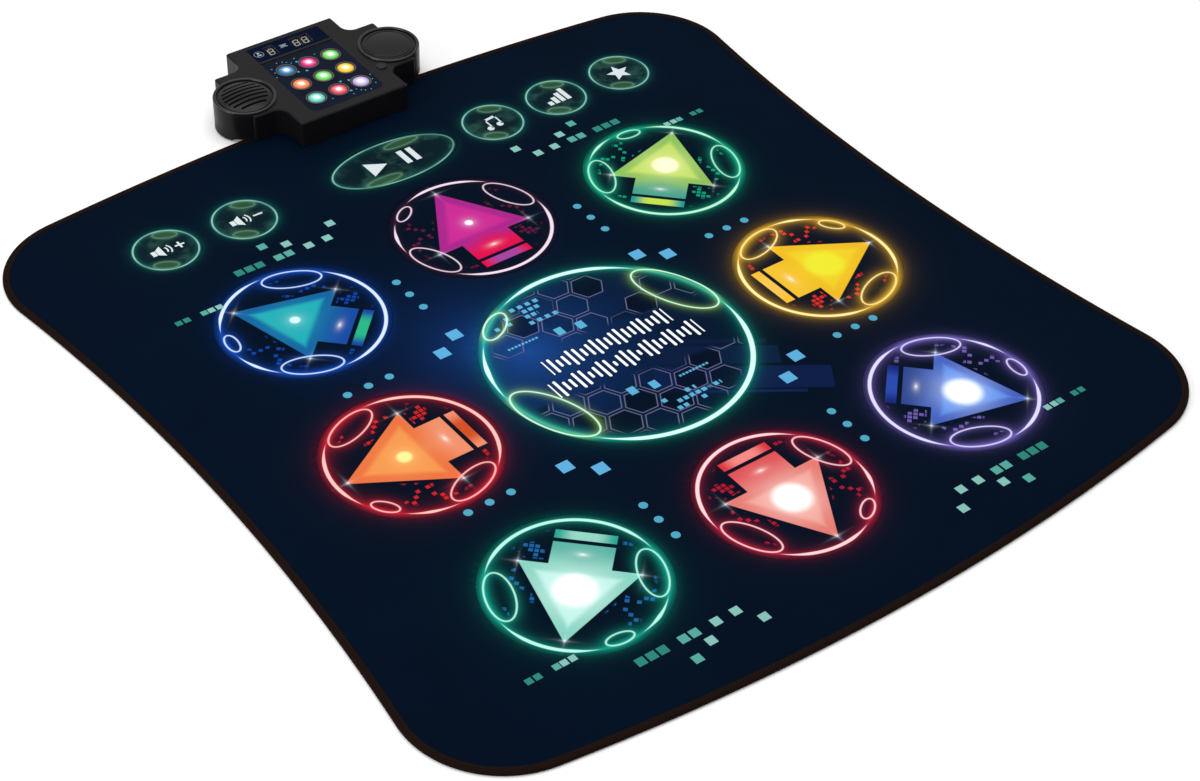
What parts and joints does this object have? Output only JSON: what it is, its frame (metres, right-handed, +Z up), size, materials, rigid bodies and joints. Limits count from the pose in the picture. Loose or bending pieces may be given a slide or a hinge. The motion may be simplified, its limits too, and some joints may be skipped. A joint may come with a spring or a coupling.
{
  "type": "dance mat with lit console",
  "caption": "Soft floor dance mat with sprung stepping pads, foot buttons and a moulded console with lit round windows, digits and a speaker.",
  "frame": {"origin": "on the floor under the middle of the whole object's box", "axes": "+X to the player's right, +Y from the near edge of the mat to the back of the console, +Z up"},
  "size_m": [0.8498, 1.0029, 0.0401],
  "materials": {
    "navy_cloth": "printed woven cloth, matt",
    "brown_tape": "woven edge tape",
    "contact_film": "clear film with carbon print",
    "spacer_foam": "soft closed-cell foam",
    "backing_rubber": "dotted non-slip underside",
    "clamp_steel": "zinc plated",
    "housing_grey": "fine textured moulding",
    "base_black": "fine textured moulding",
    "ring_black": "polished moulding",
    "grille_grey": "satin moulding",
    "panel_navy": "printed plate",
    "window_smoke": "smoked window",
    "lens_milk": "translucent window",
    "bezel_black": "printed ring",
    "divider_white": "white moulding",
    "board_green": "solder mask",
    "component_black": "moulded case",
    "emitter_clear": "clear resin",
    "digit_grey": "display block",
    "connector_cream": "socket",
    "capacitor_sleeve": "shrunk sleeve",
    "speaker_steel": "pressed sheet",
    "magnet_grey": "ferrite",
    "cone_paper": "pressed paper",
    "button_black": "satin cap",
    "spring_steel": "spring wire",
    "contact_plate": "nickel plated",
    "cell_jacket": "cell sleeve",
    "foot_rubber": "soft foot",
    "wire_red": "wire sleeve",
    "screw_steel": "zinc plated",
    "print_far_left": "printed cloth",
    "print_far": "printed cloth",
    "print_far_right": "printed cloth",
    "print_left": "printed cloth",
    "print_middle": "printed cloth",
    "print_right": "printed cloth",
    "print_near_left": "printed cloth",
    "print_near": "printed cloth",
    "print_near_right": "printed cloth",
    "print_button": "printed cloth"
  },
  "bodies": {
    "mat_and_console": {"top_cloth": "navy_cloth", "edge_binding": "brown_tape", "upper_contact_film": "contact_film", "lower_contact_film": "contact_film", "spacer_foam": "spacer_foam", "non_slip_backing": "backing_rubber", "membrane_tail": "contact_film", "clamp_bar": "clamp_steel", "clamp_screws": "screw_steel", "upper_housing": "housing_grey", "lower_housing": "base_black", "light_panel": "panel_navy", "light_lenses": "lens_milk", "lens_bezels": "bezel_black", "display_window": "window_smoke", "light_divider": "divider_white", "light_emitters": "emitter_clear", "one_digit_display": "digit_grey", "two_digit_display": "digit_grey", "light_board": "board_green", "main_board": "board_green", "board_chips": "component_black", "filter_capacitor": "capacitor_sleeve", "membrane_connector": "connector_cream", "board_link_header": "component_black", "speaker_grille": "grille_grey", "blank_cap": "grille_grey", "pod_rings": "ring_black", "speaker_frame": "speaker_steel", "speaker_cone": "cone_paper", "speaker_magnet": "magnet_grey", "speaker_clamp_ring": "component_black", "speaker_screws": "screw_steel", "power_switch": "component_black", "power_button_spring": "spring_steel", "battery_cells": "cell_jacket", "battery_springs": "spring_steel", "battery_plates": "contact_plate", "inner_leads": "wire_red", "housing_screws": "screw_steel", "board_screws": "screw_steel", "rubber_feet": "foot_rubber"},
    "step_pad_far_left": {"step_pad_far_left": "print_far_left"},
    "step_pad_far": {"step_pad_far": "print_far"},
    "step_pad_far_right": {"step_pad_far_right": "print_far_right"},
    "step_pad_left": {"step_pad_left": "print_left"},
    "step_pad_middle": {"step_pad_middle": "print_middle"},
    "step_pad_right": {"step_pad_right": "print_right"},
    "step_pad_near_left": {"step_pad_near_left": "print_near_left"},
    "step_pad_near": {"step_pad_near": "print_near"},
    "step_pad_near_right": {"step_pad_near_right": "print_near_right"},
    "foot_button_volume_up": {"foot_button_volume_up": "print_button"},
    "foot_button_volume_down": {"foot_button_volume_down": "print_button"},
    "foot_button_start": {"foot_button_start": "print_button"},
    "foot_button_mode": {"foot_button_mode": "print_button"},
    "foot_button_difficulty": {"foot_button_difficulty": "print_button"},
    "foot_button_demo": {"foot_button_demo": "print_button"},
    "power_button": {"power_button": "button_black", "power_switch_plunger": "connector_cream"},
    "battery_door": {"battery_door": "base_black"}
  },
  "joints": [
    {"name": "step_pad_far_left_press", "type": "slide", "parent": "mat_and_console", "child": "step_pad_far_left", "axis": [0, 0, 1], "range_m": [-0.0016, 0], "stiffness_N_per_m": 4000, "springref_m": 0.001},
    {"name": "step_pad_far_press", "type": "slide", "parent": "mat_and_console", "child": "step_pad_far", "axis": [0, 0, 1], "range_m": [-0.0016, 0], "stiffness_N_per_m": 4000, "springref_m": 0.001},
    {"name": "step_pad_far_right_press", "type": "slide", "parent": "mat_and_console", "child": "step_pad_far_right", "axis": [0, 0, 1], "range_m": [-0.0016, 0], "stiffness_N_per_m": 4000, "springref_m": 0.001},
    {"name": "step_pad_left_press", "type": "slide", "parent": "mat_and_console", "child": "step_pad_left", "axis": [0, 0, 1], "range_m": [-0.0016, 0], "stiffness_N_per_m": 4000, "springref_m": 0.001},
    {"name": "step_pad_middle_press", "type": "slide", "parent": "mat_and_console", "child": "step_pad_middle", "axis": [0, 0, 1], "range_m": [-0.0016, 0], "stiffness_N_per_m": 4000, "springref_m": 0.001},
    {"name": "step_pad_right_press", "type": "slide", "parent": "mat_and_console", "child": "step_pad_right", "axis": [0, 0, 1], "range_m": [-0.0016, 0], "stiffness_N_per_m": 4000, "springref_m": 0.001},
    {"name": "step_pad_near_left_press", "type": "slide", "parent": "mat_and_console", "child": "step_pad_near_left", "axis": [0, 0, 1], "range_m": [-0.0016, 0], "stiffness_N_per_m": 4000, "springref_m": 0.001},
    {"name": "step_pad_near_press", "type": "slide", "parent": "mat_and_console", "child": "step_pad_near", "axis": [0, 0, 1], "range_m": [-0.0016, 0], "stiffness_N_per_m": 4000, "springref_m": 0.001},
    {"name": "step_pad_near_right_press", "type": "slide", "parent": "mat_and_console", "child": "step_pad_near_right", "axis": [0, 0, 1], "range_m": [-0.0016, 0], "stiffness_N_per_m": 4000, "springref_m": 0.001},
    {"name": "foot_button_volume_up_press", "type": "slide", "parent": "mat_and_console", "child": "foot_button_volume_up", "axis": [0, 0, 1], "range_m": [-0.0016, 0], "stiffness_N_per_m": 3000, "springref_m": 0.001},
    {"name": "foot_button_volume_down_press", "type": "slide", "parent": "mat_and_console", "child": "foot_button_volume_down", "axis": [0, 0, 1], "range_m": [-0.0016, 0], "stiffness_N_per_m": 3000, "springref_m": 0.001},
    {"name": "foot_button_start_press", "type": "slide", "parent": "mat_and_console", "child": "foot_button_start", "axis": [0, 0, 1], "range_m": [-0.0016, 0], "stiffness_N_per_m": 3000, "springref_m": 0.001},
    {"name": "foot_button_mode_press", "type": "slide", "parent": "mat_and_console", "child": "foot_button_mode", "axis": [0, 0, 1], "range_m": [-0.0016, 0], "stiffness_N_per_m": 3000, "springref_m": 0.001},
    {"name": "foot_button_difficulty_press", "type": "slide", "parent": "mat_and_console", "child": "foot_button_difficulty", "axis": [0, 0, 1], "range_m": [-0.0016, 0], "stiffness_N_per_m": 3000, "springref_m": 0.001},
    {"name": "foot_button_demo_press", "type": "slide", "parent": "mat_and_console", "child": "foot_button_demo", "axis": [0, 0, 1], "range_m": [-0.0016, 0], "stiffness_N_per_m": 3000, "springref_m": 0.001},
    {"name": "power_button_press", "type": "slide", "parent": "mat_and_console", "child": "power_button", "axis": [0, 0, 1], "range_m": [-0.0012, 0], "stiffness_N_per_m": 800, "springref_m": 0.001, "deforming": ["power_button_spring"]},
    {"name": "battery_door_slide", "type": "slide", "parent": "mat_and_console", "child": "battery_door", "axis": [0, 1, 0], "range_m": [0, 0.0626]}
  ]
}
